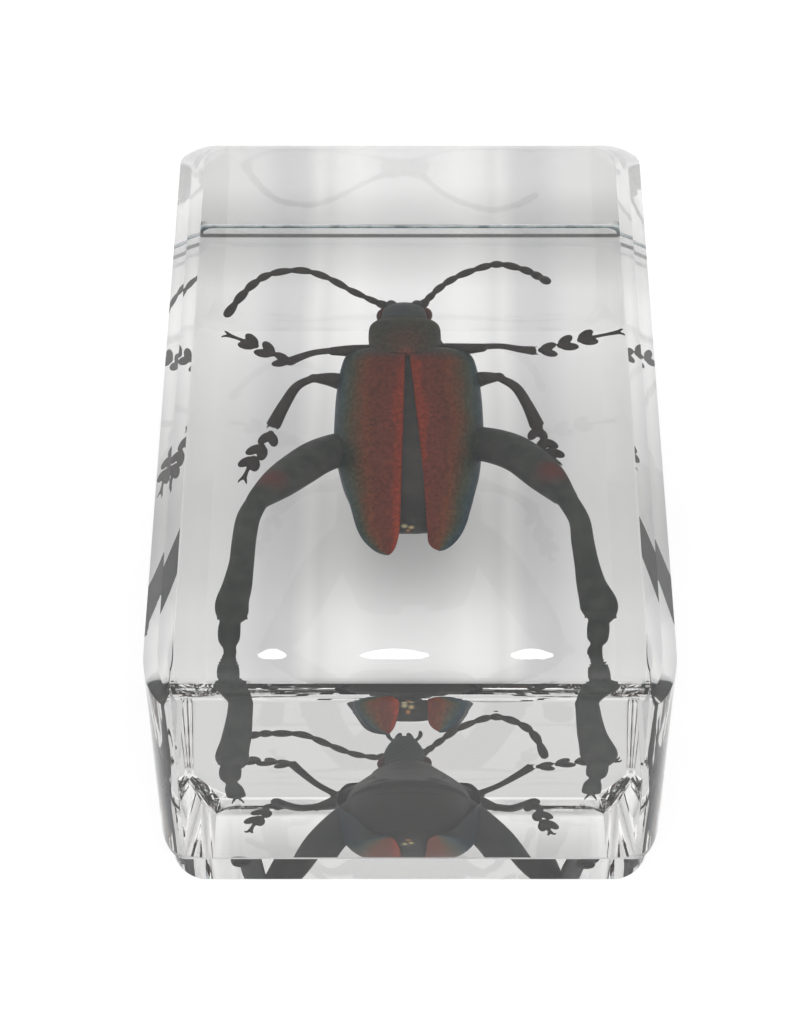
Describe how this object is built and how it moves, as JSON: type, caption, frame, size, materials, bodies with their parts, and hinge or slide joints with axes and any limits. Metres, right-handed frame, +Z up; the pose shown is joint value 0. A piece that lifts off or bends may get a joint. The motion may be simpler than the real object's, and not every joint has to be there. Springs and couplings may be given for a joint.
{
  "type": "insect in resin block",
  "caption": "Dried frog-legged leaf beetle sealed in a clear rectangular resin block with soft upper edges.",
  "frame": {"origin": "centre of the block's underside", "axes": "+X to the right, +Y along the block towards the beetle's head, +Z up through the beetle's back"},
  "size_m": [0.04, 0.062, 0.025],
  "materials": {
    "clear_resin": "polished, clear",
    "beetle_shell": "dark red-brown with a faint metallic sheen, finely pitted"
  },
  "bodies": {
    "root": {"resin_lower": "clear_resin", "resin_upper": "clear_resin", "beetle": "beetle_shell"}
  },
  "joints": []
}
